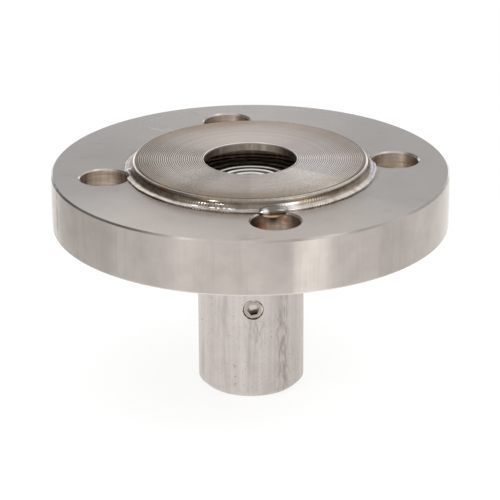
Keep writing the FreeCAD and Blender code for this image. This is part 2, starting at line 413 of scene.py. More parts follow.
# A painted highlight: a smooth sector at the front right, lightened, with its valleys barely darkened.
smooth_highlight_sector = sector(angle, -71, 30, 27)
off_the_sides = calculate("ABSOLUTE", calculate("SUBTRACT", away, 90))
quiet = largest(spread(off_the_sides, 18, 40), smooth_highlight_sector)
right_side_shade = sector(angle, 8, 60, 30)
# The valleys are darkened partly as residue and partly as painted shade. The darkening is stronger at the
# sides than in front, behind, in the smooth highlight sector and on the right.
valley_residue_and_shade = product(
    spread(feed, 0.35, 0.55),
    spread(feed, 1.0, 0.85),
    spread(quiet, 0, 1, 1.0, 0.2),
    spread(right_side_shade, 0, 1, 1.0, 0.65),
)
# Painted shade: the sectors in front and behind, where the grooves show least, are darkened, more in front.
quiet_tint = blend_colours(spread(away, 70, 110), (0.645, 0.645, 0.64), (0.735, 0.715, 0.705))
heat = largest(spread(blotches, 0.38, 0.62, 0.45, 0.9), sector(angle, -125, 95, 35))
left_rim_shade = product(spread(radius, 26, 30), sector(angle, -175, 30, 12))
face = paint(
    blend_colours(slow_rings, (0.60, 0.54, 0.495), (0.74, 0.68, 0.63)),
    (tint, valley_residue_and_shade, (0.13, 0.115, 0.10)),
    (tint, quiet, quiet_tint),
    (tint, smooth_highlight_sector, (1.1, 1.1, 1.1)),
    # Painted light and shade by bearing: darker on the right and just beyond the smooth sector, darker on the
    # left and more so at its outer edge, and lighter behind the port.
    (tint, right_side_shade, (0.88, 0.87, 0.895)),
    (tint, sector(angle, -27, 17, 14), (0.86, 0.87, 0.9)),
    (tint, sector(angle, -172, 48, 20), (0.81, 0.785, 0.77)),
    (tint, product(spread(radius, 24, 15), spread(away, 55, 90)), (1.15, 1.15, 1.16)),
    (tint, left_rim_shade, (0.8, 0.77, 0.74)),
    (tint, product(spread(radius, 25.0, 31.0), heat), (0.68, 0.59, 0.49)),
)

streaky = noise(place, 1.1, 3.0)
# The shoulder is darkened as painted shade, most in front and at the left front, to hold down its reflection.
shaded_shoulder_colour = paint(
    blend_colours(spread(streaky, 0.35, 0.65), (0.36, 0.33, 0.29), (0.46, 0.43, 0.39)),
    (tint, sector(angle, -130, 50, 28), (0.66, 0.63, 0.59)),
    (cover, spread(away, 66, 82), (0.505, 0.472, 0.435)),
)
groove_width = spread(away, 50, 75, 0.2, 0.55)
past_groove = calculate("SUBTRACT", radius, groove_width)
# Painted shade in the first groove: a near-black line, wider towards the sides and back, and a brown
# darkening in front.
first_groove_shade = product(spread(radius, GROOVES_R - 0.4, GROOVES_R - 0.25), spread(away, 95, 70))
heat_spot = product(
    sector(angle, -145.5, 4.5, 2), spread(radius, GROOVES_R + 0.2, GROOVES_R + 0.5), 0.85)
top = paint(
    face,
    (tint, first_groove_shade, (0.42, 0.35, 0.28)),
    (cover, spread(radius, GROOVES_R - 0.03, GROOVES_R + 0.03), (0.08, 0.06, 0.045)),
    (cover, spread(past_groove, GROOVES_R - 0.03, GROOVES_R + 0.03), shaded_shoulder_colour),
    (cover, heat_spot, (0.36, 0.175, 0.085)),
)

sides = calculate("SUBTRACT", spread(away, 76, 62), spread(away, 22, 12))
# Painted shade on the port's wall away from its far middle.
port_wall_shade = product(spread(bearing(angle, 80.6), 26, 58), spread(radius, PORT_R + 0.5, PORT_R + 0.4))
smears = noise(drawn_out(place, 0.15), 0.55, 2.0)
wall = paint(
    blend_colours(blotches, (0.42, 0.35, 0.29), (0.58, 0.50, 0.43)),
    (tint, port_wall_shade, (0.3, 0.26, 0.23)),
    (tint, spread(smears, 0.45, 0.62), (1.5, 1.45, 1.4)),
    # Painted shade in the crease between the shoulder and the weld, a little darker on the front flanks.
    (cover, spread(radius, CAPSULE_R - 1.0, CAPSULE_R - 0.9),
     blend_colours(sides, (0.30, 0.26, 0.225), (0.26, 0.215, 0.17))),
)
above_wall = spread(height, FACE_Z - 0.62, FACE_Z - 0.55)
# A painted highlight on the port's edge, away from the front.
port_edge_highlight = product(
    spread(radius, PORT_R + 0.34, PORT_R + 0.28),
    spread(height, FACE_Z - 0.4, FACE_Z - 0.3),
    spread(away, 15, 50, 0.0, 0.55),
)
face_colour = paint(wall, (cover, above_wall, top), (cover, port_edge_highlight, (0.88, 0.86, 0.84)))
on_face = product(above_wall, spread(radius, PORT_R + 0.25, PORT_R + 0.35))
gloss = blend_numbers(on_face, 0.5, spread(blotches, 0.3, 0.7, 0.17, 0.24))
finish_metal(shader, face_colour, gloss, slow_rings, 0.003)
print("gasket face steel ready")

# %% [markdown]
# ## Foil, bar, screw and pad
# The foil is rolled bright. The valleys of its outer waves are darkened as painted shade, and the crests
# further out are lightened as a painted highlight. The stem is drawn bar: its marks run lengthwise, so its
# pattern is stretched along Z and its highlights spread round the bar. Its left side is painted lighter and
# its right side darker, as painted light and shade. The set screw is plain and a little dull, and the pad
# under it is soft copper.

# %% Foil, bar, screw and pad
SCREW_R, SCREW_OUTER, SOCKET_R, SOCKET_FLOOR = 2.95, 15.3, 1.732, 13.4

foil_steel, shader = new_metal("foil_steel", 0.1)
place, radius, _, _ = where(shader)
rolled = noise(place, 1.2, 3.0)
folds = calculate("SINE", product(calculate("SUBTRACT", radius, WAVE_START), TURN / WAVE_PITCH))
foil_colour = paint(
    blend_colours(rolled, (0.56, 0.56, 0.56), (0.66, 0.66, 0.655)),
    # Painted shade in the valleys of the outer waves, and a painted highlight on the crests further out.
    (tint, product(spread(folds, 0.3, -0.35), spread(radius, 7.7, 8.0)), (0.14, 0.11, 0.09)),
    (tint, product(spread(folds, 0.75, 0.95), spread(radius, 11.0, 12.0)), (1.5, 1.35, 1.2)),
)
finish_metal(shader, foil_colour, spread(rolled, 0.3, 0.7, 0.07, 0.12), rolled, 0.001)

bar_steel, shader = new_metal("bar_steel", 0.33, grain=0.5)
place, _, height, angle = where(shader)
long_grain = drawn_out(place, 0.03)
blurred_grain = drawn_out(place, 0.2)
streaks = noise(long_grain, 1.0, 4.0)
mottle = noise(place, 0.3, 5.0)
wide_streaks = noise(long_grain, 0.22, 3.0)
tone = calculate("MULTIPLY_ADD", streaks, 0.4, product(wide_streaks, 0.25))
tone = calculate("MULTIPLY_ADD", mottle, 0.35, tone)
stains = spread(noise(blurred_grain, 0.28, 5.0), 0.54, 0.68)
pits = spread(noise(place, 1.5, 2.0), 0.66, 0.72)
worn = product(sector(angle, -63, 11, 3), spread(height, 50, 20, 0.5, 1))
rubbed = product(sector(angle, -95, 14, 3), spread(height, 12, 24), spread(height, 26, 23.5))
scuffed = product(spread(noise(blurred_grain, 1.6, 5.0), 0.44, 0.58), largest(worn, rubbed))
marked = largest(product(stains, 0.35), product(scuffed, 0.85))
bar_colour = paint(
    blend_colours(spread(tone, 0.36, 0.64), (0.455, 0.42, 0.395), (0.575, 0.545, 0.52)),
    # Painted light and shade: the bar lighter on its left and darker on its right.
    (tint, sector(angle, -150, 90, 40), (1.1, 1.105, 1.125)),
    (tint, sector(angle, -55, 50, 10), (0.93, 0.93, 0.935)),
    (cover, marked, (0.30, 0.275, 0.255)),
    (cover, product(pits, 0.7), (0.2, 0.17, 0.145)),
)
finish_metal(shader, bar_colour, spread(mottle, 0.3, 0.7, 0.26, 0.42), streaks, 0.012)

screw_steel, shader = new_metal("screw_steel", 0.18)
place, _, height, _ = where(shader)
smears = noise(place, 1.5, 3.0)
port_axis = Vector((math.cos(FILL_TURN), math.sin(FILL_TURN), 0))
depth = on_vectors("DOT_PRODUCT", place, port_axis, 1)
across = on_vectors("DOT_PRODUCT", place, port_axis.cross(Vector((0, 0, 1))), 1)
off_axis = length(across, calculate("SUBTRACT", height, FILL_Z))
in_socket = product(
    spread(off_axis, SOCKET_R + 0.068, SOCKET_R + 0.018),
    spread(depth, SCREW_OUTER - 0.08, SCREW_OUTER - 0.15),
)
socket_wall = product(in_socket, spread(depth, SOCKET_FLOOR + 0.02, SOCKET_FLOOR + 0.1))
ring_edge = spread(off_axis, SCREW_R - 0.5, SCREW_R - 0.4)
end_face = calculate("SUBTRACT", 1.0, largest(in_socket, ring_edge))
glints = product(spread(noise(place, 0.9, 0.0), 0.5, 0.56), ring_edge)
screw_colour = paint(
    blend_colours(smears, (0.46, 0.43, 0.39), (0.62, 0.59, 0.55)),
    (cover, socket_wall, (0.03, 0.023, 0.018)),
    (tint, end_face, (0.72, 0.69, 0.66)),
    (cover, glints, (0.97, 0.96, 0.94)),
)
finish_metal(shader, screw_colour, spread(smears, 0.3, 0.7, 0.14, 0.24), smears, 0.006)

pad_copper, shader = new_metal("pad_copper", 0.35)
annealed = noise(where(shader)[0], 1.0, 3.0)
finish_metal(shader, blend_colours(annealed, (0.66, 0.35, 0.23), (0.76, 0.45, 0.31)))
print("foil, bar, screw and pad ready")

# %% [markdown]
# ## Weld steel
# A bead that was fused under argon stays bright, with straw, brown and blue where the heat lingered. The
# tint follows the oxide's thickness, so a slow noise picks the shade, and a faster one gives the grey scale.
# Single places differ: soot on the wall at the left, a silvery upper edge in front, and the drip that hangs
# into the front hole, dark on top, orange halfway down and grey at its foot. Light and shade are painted in
# too: the concave wall is partly darkened as painted shade, a patch of it at the front left is lightened as
# painted light, a painted shadow runs along the toe's foot in front, and sparkles and glints are painted
# white. Painting by hand would need a UV map, and layers placed by bearing and radius do without one.

# %% Weld steel
weld_steel, shader = new_metal("weld_steel", 0.3)
place, radius, height, angle = where(shader)
away = bearing(angle, FRONT_SIDE)
heat = noise(place, 0.2, 3.0)
scale_marks = noise(place, 0.9, 4.0)
patches = noise(place, 0.45, 3.0)
sides = calculate("SUBTRACT", spread(away, 76, 62), spread(away, 26, 12))
on_wall = spread(radius, CAPSULE_R + 1.45, CAPSULE_R + 1.15)
sooty = product(sector(angle, -147, 30, 12), on_wall, spread(scale_marks, 0.4, 0.55))
# A painted light patch on the wall at the front left.
wall_light_patch = product(sector(angle, -120, 14, 5), on_wall, spread(height, 67.6, 67.3))
sparkle = product(
    sector(angle, -117, 11, 9),
    spread(radius, 35.05, 35.15),
    spread(radius, 35.65, 35.5),
    spread(noise(place, 1.1, 0.0), 0.5, 0.6),
)
# A painted shadow line along the toe's outer foot in front.
toe = product(spread(height, 66.5, 66.3), spread(away, 75, 55), spread(radius, 36.0, 36.15))
lilac = product(sector(angle, -12, 16, 5), spread(radius, 34.8, 35.1), 0.6)
silver = product(sector(angle, -83, 8, 3), spread(height, 68, 67.7))
drip = near_spot(place, (0.6, -36.2, 66.0), 6.0)
drip_low = blend_colours(spread(height, 65.1, 65.3), (0.36, 0.34, 0.325), (0.46, 0.25, 0.11))
drip_colour = blend_colours(spread(height, 65.8, 66.1), drip_low, (0.17, 0.148, 0.125))
glint = largest(near_spot(place, (-1.9, -36.8, 66.4), 1.25), near_spot(place, (-34.8, 2.4, 67.3), 1.4))
bead_colour = paint(
    blend_colours(spread(scale_marks, 0.35, 0.7), (0.50, 0.455, 0.415), (0.66, 0.615, 0.57)),
    (tint, spread(heat, 0.5, 0.7, 0.0, 0.3), (0.85, 0.74, 0.6)),
    (tint, spread(away, 62, 80), (0.66, 0.66, 0.70)),
    (tint, spread(patches, 0.48, 0.62), (0.74, 0.71, 0.68)),
    (tint, sector(angle, -103, 24, 8), (0.74, 0.74, 0.75)),
    # The concave wall is browned and darkened, partly as painted shade of the wall.
    (tint, on_wall, blend_colours(sides, (0.50, 0.445, 0.385), (0.58, 0.52, 0.455))),
    (tint, sooty, (0.78, 0.75, 0.72)),
    (tint, product(spread(height, 67.9, 68.2), sides), (0.58, 0.49, 0.41)),
    (tint, wall_light_patch, (1.35, 1.45, 1.6)),
    (cover, sparkle, (0.97, 0.97, 0.97)),
    (tint, toe, (0.5, 0.45, 0.41)),
    (cover, lilac, (0.40, 0.39, 0.45)),
    (cover, silver, (0.74, 0.72, 0.70)),
    (cover, drip, drip_colour),
    (cover, glint, (0.92, 0.92, 0.92)),
)
smooth_parts = product(largest(sector(angle, -116, 17, 9), silver), spread(radius, 36.0, 35.8))
smooth_parts = largest(smooth_parts, drip)
rough_parts = calculate("MULTIPLY_ADD", sooty, 0.22, spread(scale_marks, 0.3, 0.7, 0.2, 0.3))
gloss = blend_numbers(smooth_parts, rough_parts, 0.14)
finish_metal(shader, bead_colour, gloss, scale_marks, 0.012)
print("weld steel ready")

# %% [markdown]
# ## Workshop helpers
# Almost every piece here is round. On a lathe a profile is cut into a spinning bar. In Blender the same form
# comes from a circle that is extruded ring by ring and scaled to each radius of the profile. The open ends
# are then bridged into a tube wall, or capped where the piece reaches the axis. Spin could sweep a half
# profile round instead. Rings were chosen because each is a whole loop from the start, with no seam to close.

# %% Workshop helpers
def clear_selection():
    """Leaves edit mode and deselects everything, because operators act on all that is selected."""
    if bpy.context.object and bpy.context.object.mode != "OBJECT":
        bpy.ops.object.mode_set(mode="OBJECT")
    bpy.ops.object.select_all(action="DESELECT")


def apply_placement(piece):
    """Selects a piece alone and writes its place, turn and size into its points."""
    clear_selection()
    piece.select_set(True)
    bpy.context.view_layer.objects.active = piece
    bpy.ops.object.transform_apply(location=True, rotation=True, scale=True)


def start_editing(piece, action, kind="EDGE"):
    """Enters edit mode on a piece and selects or deselects all of its edges or faces."""
    bpy.context.view_layer.objects.active = piece
    bpy.ops.object.mode_set(mode="EDIT")
    bpy.ops.mesh.select_mode(type=kind)
    bpy.ops.mesh.select_all(action=action)


def pick(piece, kind, test):
    """Selects the edges or faces whose points all pass a test on radius and height in mm."""
    start_editing(piece, "DESELECT", kind)
    bpy.ops.object.mode_set(mode="OBJECT")
    passed = [test(math.hypot(*vertex.co.xy) / MM, vertex.co.z / MM) for vertex in piece.data.vertices]
    for element in piece.data.edges if kind == "EDGE" else piece.data.polygons:
        element.select = all(passed[point] for point in element.vertices)
    bpy.ops.object.mode_set(mode="EDIT")


def turn_on_lathe(name, profile, segments, capped=False):
    """Turns a profile of (radius, height) in mm about Z. The profile runs round the wall and is closed by a
    bridge, or starts and ends at flat caps."""
    clear_selection()
    (radius, height), *rest = profile
    bpy.ops.mesh.primitive_circle_add(vertices=segments, radius=radius * MM, location=(0, 0, height * MM))
    piece = bpy.context.object
    piece.name = name
    apply_placement(piece)
    start_editing(piece, "SELECT")
    if capped:
        bpy.ops.mesh.edge_face_add()
        bpy.ops.mesh.select_all(action="SELECT")
    for next_radius, next_height in rest:
        step = (0, 0, (next_height - height) * MM)
        bpy.ops.mesh.extrude_region_move(TRANSFORM_OT_translate={"value": step})
        grow = next_radius / radius
        bpy.ops.transform.resize(value=(grow, grow, 1), center_override=(0, 0, 0))
        radius, height = next_radius, next_height
    if not capped:
        bpy.ops.mesh.select_all(action="DESELECT")
        bpy.ops.mesh.select_non_manifold()
        bpy.ops.mesh.bridge_edge_loops()
    tidy_mesh(piece)
    return piece


def tidy_mesh(piece):
    """Merges doubles and turns the faces outwards."""
    start_editing(piece, "SELECT")
    bpy.ops.mesh.remove_doubles(threshold=1e-6)
    bpy.ops.mesh.normals_make_consistent(inside=False)
    bpy.ops.mesh.select_all(action="DESELECT")
    bpy.ops.object.mode_set(mode="OBJECT")


def combine(piece, other, operation):
    """Cuts a piece with another one or fuses the two. The other one is then thrown away."""
    modifier = piece.modifiers.new("combine", "BOOLEAN")
    modifier.object = other
    modifier.operation = operation
    modifier.solver = "EXACT"
    bpy.context.view_layer.objects.active = piece
    bpy.ops.object.modifier_apply(modifier=modifier.name)
    bpy.data.objects.remove(other)


def hand_over(piece, material, slot, *nodes, smooth=32):
    """Gives a finished piece its finish and its body, and hides the CAD nodes that it stands for."""
    apply_placement(piece)
    bpy.ops.object.shade_smooth_by_angle(angle=math.radians(smooth))
    piece.data.materials.clear()
    piece.data.materials.append(material)
    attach(piece, "root")
    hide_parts(*nodes)
    print(f"{piece.name}: {len(piece.data.polygons)} faces")


print("workshop helpers ready")

# %% [markdown]
# ## The flange ring
# The ring carries the seal, and four bolts clamp it to the pipe's flange. It starts as a cylinder. Both
# round faces are inset to the bore and bridged, which opens the hole through the middle. A bevel could break
# the mouths of the bolt holes after the cut, but four drills with flared ends do both at once, 0.45 mm wide.
# Last, the other edges are broken as a machinist does with a file: 0.5 mm on top, 0.25 mm underneath and
# 0.2 mm in the bore.

# %% Flange ring
def drill_set(profile):
    """Four bolt hole drills in one object, each copied from the first and swung round the axis."""
    drills = turn_on_lathe("drills", profile, 96, capped=True)
    start_editing(drills, "SELECT")
    bpy.ops.transform.translate(value=(HOLE_CIRCLE_R * MM, 0, 0))
    for _ in range(3):
        bpy.ops.mesh.duplicate()
        bpy.ops.transform.rotate(value=math.pi / 2, orient_axis="Z", center_override=(0, 0, 0))
    bpy.ops.object.mode_set(mode="OBJECT")
    return drills


def break_edges(piece, width, steps, test):
    """Bevels the edges that pass the test."""
    pick(piece, "EDGE", test)
    bpy.ops.mesh.bevel(offset=width * MM, segments=steps, affect="EDGES")
    bpy.ops.object.mode_set(mode="OBJECT")


MOUTH, TOP_BREAK, UNDER_BREAK, BORE_BREAK = 0.45, 0.5, 0.25, 0.2
bolt_drill = [
    (HOLE_R + MOUTH + 1, BACK_Z - 1), (HOLE_R, BACK_Z + MOUTH),
    (HOLE_R, FRONT_Z - MOUTH), (HOLE_R + MOUTH + 1, FRONT_Z + 1),
]
clear_selection()
middle, thickness = (0, 0, (FRONT_Z + BACK_Z) / 2 * MM), (FRONT_Z - BACK_Z) * MM
bpy.ops.mesh.primitive_cylinder_add(vertices=256, radius=FLANGE_R * MM, depth=thickness, location=middle)
flange = bpy.context.object
flange.name = "flange_ring"
apply_placement(flange)
for level in (BACK_Z, FRONT_Z):
    pick(flange, "FACE", lambda r, z: abs(z - level) < 0.01)
    bpy.ops.mesh.inset(thickness=(FLANGE_R - BORE_R) * MM)
pick(flange, "FACE", lambda r, z: r < BORE_R + 0.1)
bpy.ops.mesh.bridge_edge_loops()
tidy_mesh(flange)
combine(flange, drill_set(bolt_drill), "DIFFERENCE")
break_edges(flange, TOP_BREAK, 1, lambda r, z: r > FLANGE_R - 0.05 and z > FRONT_Z - 0.01)
break_edges(flange, UNDER_BREAK, 1, lambda r, z: r > FLANGE_R - 0.05 and z < BACK_Z + 0.01)
break_edges(flange, BORE_BREAK, 2, lambda r, z: r < BORE_R + 0.05 and z < BACK_Z + 0.01)
tidy_mesh(flange)
hand_over(flange, turned_steel, "turned_steel", "flange")

# %% [markdown]
# ## The gasket face
# A tool fed at 0.6 mm a turn leaves about thirty shallow grooves between the port and the rim. Bump could
# only shade them, so they are cut here as real rings, which make the face sparkle in sectors. Each falls
# slowly from its outer crest and climbs back steeply. A narrow shoulder is left outside them. Below the port
# the wall steps out under a lip and opens into the chamber over the foil.

# %% Gasket face
def gasket_profile():
    """The raised ring's section, from the foil out, up over the grooved face and back under the lip."""
    foil_top = FOIL_Z + FOIL / 2
    points = [
        (CHAMBER_R, foil_top), (CAPSULE_R, foil_top), (CAPSULE_R, FACE_Z - 0.8),
        (CAPSULE_R - 0.06, FACE_Z - 0.55), (CAPSULE_R - 0.2, FACE_Z - 0.38), (CAPSULE_R - 0.5, FACE_Z - 0.2),
        (GROOVES_R + 0.25, FACE_Z - 0.05), (GROOVES_R + 0.15, FACE_Z - 0.14), (GROOVES_R, FACE_Z),
    ]
    crest = GROOVES_R
    while crest - GROOVE_PITCH > PORT_R + 0.3:
        for share, dip in ((0.35, 0.5), (0.72, 1.0), (0.78, 1.0)):
            points.append((crest - share * GROOVE_PITCH, FACE_Z - dip * GROOVE_DEPTH))
        crest -= GROOVE_PITCH
        points.append((crest, FACE_Z))
    points += [
        (PORT_R + 0.22, FACE_Z), (PORT_R + 0.07, FACE_Z - 0.07), (PORT_R, FACE_Z - 0.22),
        (PORT_R, LIP_Z + 0.1), (PORT_R + 0.1, LIP_Z), (CHAMBER_R - 0.5, LIP_Z), (CHAMBER_R, LIP_Z - 0.5),
    ]
    return points


gasket_ring = turn_on_lathe("gasket_face_ring", gasket_profile(), 256)
hand_over(gasket_ring, gasket_steel, "gasket_face_steel", "process_ring", smooth=24)

# %% [markdown]
# ## The diaphragm
# The foil is pressed over a die that gives it five rounded waves, so that it can flex without tearing. A
# sine swings the profile up and down between the flat centre and the flat rim. The upper line runs out and
# the lower one runs back, a tenth of a millimetre below. A single skin with a Solidify modifier could do it
# too, but one profile needs no modifier and sets the height of both sides.

# %% Diaphragm
WAVE_STEPS, CAP_R = 12, 3.0


def wave_line(offset):
    """The pressed wave's rounded profile from the centre's edge to the rim."""
    steps = WAVE_STEPS * WAVES
    points = []
    for step in range(steps + 1):
        swing = math.sin(TURN * step / WAVE_STEPS) * WAVE_HEIGHT / 2
        fade = min(1.0, step / 2, (steps - step) / 2)
        points.append((WAVE_START + step * WAVE_PITCH / WAVE_STEPS, FOIL_Z + offset + fade * swing))
    return points


upper = [(CAP_R, FOIL_Z + FOIL / 2), *wave_line(FOIL / 2), (CAPSULE_R, FOIL_Z + FOIL / 2)]
lower = [(CAPSULE_R, FOIL_Z - FOIL / 2), *reversed(wave_line(-FOIL / 2)), (CAP_R, FOIL_Z - FOIL / 2)]
diaphragm = turn_on_lathe("diaphragm_foil", upper + lower, 192, capped=True)
hand_over(diaphragm, foil_steel, "foil_steel", "diaphragm")

# %% [markdown]
# ## The backing disc
# Under the foil lies a thick disc with a shallow bed for the fill fluid and a hole to the stem. Only its
# lower face shows, from below, inside the flange ring's bore. A cylinder and a few cuts could make it, but
# one turned profile says it all.

# %% Backing disc
FLUID_GAP = 0.3
foil_back = FOIL_Z - FOIL / 2
bed = foil_back - WAVE_HEIGHT / 2 - FLUID_GAP
backing_profile = [
    (SEAT_R, STEM_TOP_Z), (SEAT_R, CAPSULE_BACK_Z + 0.1), (SEAT_R + 0.1, CAPSULE_BACK_Z),
    (CAPSULE_R - 0.3, CAPSULE_BACK_Z), (CAPSULE_R, CAPSULE_BACK_Z + 0.3), (CAPSULE_R, foil_back),
    (CHAMBER_R, foil_back), (CHAMBER_R - 0.3, bed), (PASSAGE_R, bed), (PASSAGE_R, STEM_TOP_Z),
]
backing_disc = turn_on_lathe("backing_disc_turned", backing_profile, 192)
hand_over(backing_disc, turned_steel, "turned_steel", "backing_disc")

# %% [markdown]
# ## The stem
# The stem is drawn bar with the gauge's thread in its foot. The thread is a true spiral: the bore is turned
# with many rings, and each point is then pushed outwards by how far it has come round and up in one pitch.
# A swept tooth could be cut out instead, but pushed points can't leave torn faces. A drill crosses the bar
# for the fill port.

# %% Stem
THREAD_PITCH, THREAD_DEPTH, THREAD_START_Z, RINGS_A_TURN = 1.814, 1.1, 0.75, 12


def stem_profile():
    """The bar's section, up the outside, across its top and down through the passage and the thread."""
    points = [
        (THREAD_R + THREAD_START_Z, 0.0), (STEM_R - 1.85, 0.0), (STEM_R - 1.7, 0.1), (STEM_R - 0.1, 1.7),
        (STEM_R, 1.95), (STEM_R, STEM_TOP_Z), (PASSAGE_R, STEM_TOP_Z), (PASSAGE_R, THREAD_END_Z),
    ]
    depth = THREAD_END_Z - THREAD_START_Z
    rings = int(depth / THREAD_PITCH * RINGS_A_TURN)
    points += [(THREAD_R, THREAD_END_Z - depth * ring / rings) for ring in range(rings + 1)]
    return points


def cut_spiral(piece, bore, pitch, depth, low, high):
    """Pushes the bore's points outwards in a spiral, fading in near both ends."""
    for vertex in piece.data.vertices:
        x, y, z = vertex.co / MM
        if abs(math.hypot(x, y) - bore) > 0.01 or not low <= z <= high:
            continue
        phase = (z / pitch - math.atan2(y, x) / TURN) % 1
        groove = min(1.0, max(0.0, 1.6 - 3.2 * abs(phase - 0.5)))
        fade = min(1.0, max(0.0, (high - z) / pitch), max(0.25, (z - low) / pitch))
        grow = 1 + groove * fade * depth / bore
        vertex.co.x *= grow
        vertex.co.y *= grow


stem = turn_on_lathe("stem_bar", stem_profile(), 160)
cut_spiral(stem, THREAD_R, THREAD_PITCH, THREAD_DEPTH, THREAD_START_Z - 0.01, THREAD_END_Z - 1.5)
port_turn = Matrix.Rotation(FILL_TURN, 4, "Z") @ Matrix.Rotation(math.pi / 2, 4, "Y")


def lay_in_port(tool):
    """Swings a piece that was made along Z into the fill port's line."""
    tool.matrix_world = Matrix.Translation((0, 0, FILL_Z * MM)) @ port_turn
    apply_placement(tool)


port_profile = [
    (BLEED_R, 1.0), (BLEED_R, FILL_FLOOR), (FILL_R, FILL_FLOOR), (FILL_R, STEM_R - 0.3),
    (FILL_R + 0.08, STEM_R - 0.1), (FILL_R + 0.08, STEM_R + 2.5),
]
port_drill = turn_on_lathe("port_drill", port_profile, 64, capped=True)
lay_in_port(port_drill)
combine(stem, port_drill, "DIFFERENCE")
tidy_mesh(stem)
hand_over(stem, bar_steel, "bar_steel", "stem")

# %% [markdown]
# ## The set screw
# An M6 set screw with a 3 mm hexagon socket closes the fill port. It is turned ring by ring like the rest,
# with a broken edge at its outer end. Its thread could be a spiral like the gauge's, but it is hidden in the
# port, so plain V-shaped rings stand for it. A six-sided bar cuts the socket, and the socket's mouth is
# broken too.

# %% Set screw
SCREW_INNER, SCREW_ROOT_R = 9.0, 2.45
screw_points = [(2.0, SCREW_INNER), (2.4, SCREW_INNER + 0.4)]
pitch_mark = SCREW_INNER + 0.7
while pitch_mark < SCREW_OUTER - 0.9:
    screw_points += [(SCREW_R, pitch_mark), (SCREW_ROOT_R, pitch_mark + 0.5)]
    pitch_mark += 1.0
screw_points += [(SCREW_R, SCREW_OUTER - 0.55), (SCREW_R - 0.05, SCREW_OUTER - 0.4)]
screw_points += [(SCREW_R - 0.35, SCREW_OUTER - 0.06), (SCREW_R - 0.45, SCREW_OUTER)]
fill_screw = turn_on_lathe("fill_set_screw", screw_points, 96, capped=True)
clear_selection()
key_middle = (0, 0, (SOCKET_FLOOR + 2) * MM)
bpy.ops.mesh.primitive_cylinder_add(vertices=6, radius=SOCKET_R * MM, depth=4 * MM, location=key_middle)
hex_key = bpy.context.object
hex_key.rotation_euler.z = math.radians(10)
apply_placement(hex_key)
combine(fill_screw, hex_key, "DIFFERENCE")
break_edges(fill_screw, 0.12, 2, lambda r, z: r < 2.0 and z > SCREW_OUTER - 0.01)
tidy_mesh(fill_screw)
lay_in_port(fill_screw)
hand_over(fill_screw, screw_steel, "screw_steel", "fill_screw")

# %% [markdown]
# ## The weld beads
# The bead round the raised face is a concave fillet: steep against the face, then flattening into a rolled
# toe on the ring. The puddle froze in steps about a millimetre apart, and each left a faint crescent. The
# bead's profile is turned first with many segments. Then its points are moved between a lean section and a
# full one, and by a ripple and slower waves that make toe and throat wander. Sculpting could do it by eye,
# but a formula gives the same bead each time. The bolt drills finally nip it, as in the real seal.

# %% Weld beads
def unevenness(angle, seeds):
    """A slow wave of angle between -1 and 1, from a few whole-number frequencies."""
    return sum(math.sin(count * angle + shift) for count, shift in seeds) / len(seeds)


def melt_bead(piece, lean, full, fullness, toe_mm, ripple_mm, pitch):
    """Moves each ring of a turned bead between a lean and a full section, then adds drift and crescents."""
    turns = round(TURN * lean[1][0] / pitch)
    last = len(lean) - 1
    ring_of = {(round(r, 2), round(z, 2)): index for index, (r, z) in enumerate(lean)}
    for vertex in piece.data.vertices:
        x, y, z = vertex.co / MM
        r, angle = math.hypot(x, y), math.atan2(y, x)
        ring = ring_of[(round(r, 2), round(z, 2))]
        if ring == 0:
            continue
        share = fullness(angle)
        new_r = lean[ring][0] + share * (full[ring][0] - lean[ring][0])
        new_z = lean[ring][1] + share * (full[ring][1] - lean[ring][1])
        out = 1 - ring / last
        crescent = (turns * angle / TURN + 0.25 * out + 0.1 * unevenness(angle, THROAT_SEEDS)) % 1
        step = ripple_mm(angle) * (crescent - 0.5) * math.sin(math.pi * min(1, ring / last + 0.1))
        new_r += toe_mm * out * unevenness(angle, TOE_SEEDS) + step
        if ring > 1:
            new_z += 0.08 * unevenness(angle, THROAT_SEEDS) * math.copysign(1, lean[-1][1] - lean[0][1])
            new_z += 0.6 * step
        vertex.co = Vector((new_r * x / r, new_r * y / r, new_z)) * MM


def bump_at(angle, degrees, width):
    """1 at a bearing, falling off smoothly to 0 one width away."""
    off = abs((math.degrees(angle) - degrees + 180) % 360 - 180) / width
    return 0.5 + 0.5 * math.cos(math.pi * off) if off < 1 else 0.0


TOE_SEEDS = ((5, 0.4), (11, 2.1), (17, 4.4), (29, 1.3))
THROAT_SEEDS = ((4, 1.9), (9, 0.2), (23, 3.3))
LEAN_BEAD = [
    (CAPSULE_R, FRONT_Z), (36.3, FRONT_Z), (36.34, 66.1), (36.28, 66.23), (36.14, 66.35), (35.95, 66.44),
    (35.74, 66.5), (35.52, 66.55), (35.32, 66.62), (35.12, 66.73), (34.93, 66.88), (34.74, 67.08),
    (34.56, 67.32), (34.4, 67.6), (34.26, 67.94), (34.13, 68.28), (CAPSULE_R, 68.48),
]
FULL_BEAD = [
    (CAPSULE_R, FRONT_Z), (36.6, FRONT_Z), (36.66, 66.14), (36.6, 66.33), (36.44, 66.52), (36.2, 66.67),
    (35.92, 66.77), (35.62, 66.84), (35.34, 66.92), (35.1, 67.02), (34.89, 67.15), (34.7, 67.32),
    (34.53, 67.53), (34.38, 67.78), (34.25, 68.06), (34.13, 68.33), (CAPSULE_R, 68.5),
]
face_weld = turn_on_lathe("face_weld_bead", LEAN_BEAD, 1440)
melt_bead(
    face_weld, LEAN_BEAD, FULL_BEAD,
    fullness=lambda angle: 0.3 + 0.7 * bump_at(angle, -60, 80),
    toe_mm=0.2,
    ripple_mm=lambda angle: 0.05 + 0.12 * bump_at(angle, -115, 14) + 0.12 * bump_at(angle, -70, 12),
    pitch=0.9,
)
combine(face_weld, drill_set([(HOLE_R, FRONT_Z - 1), (HOLE_R, FRONT_Z + 4)]), "DIFFERENCE")
print(f"bead melted and nipped: {len(face_weld.data.polygons)} faces")

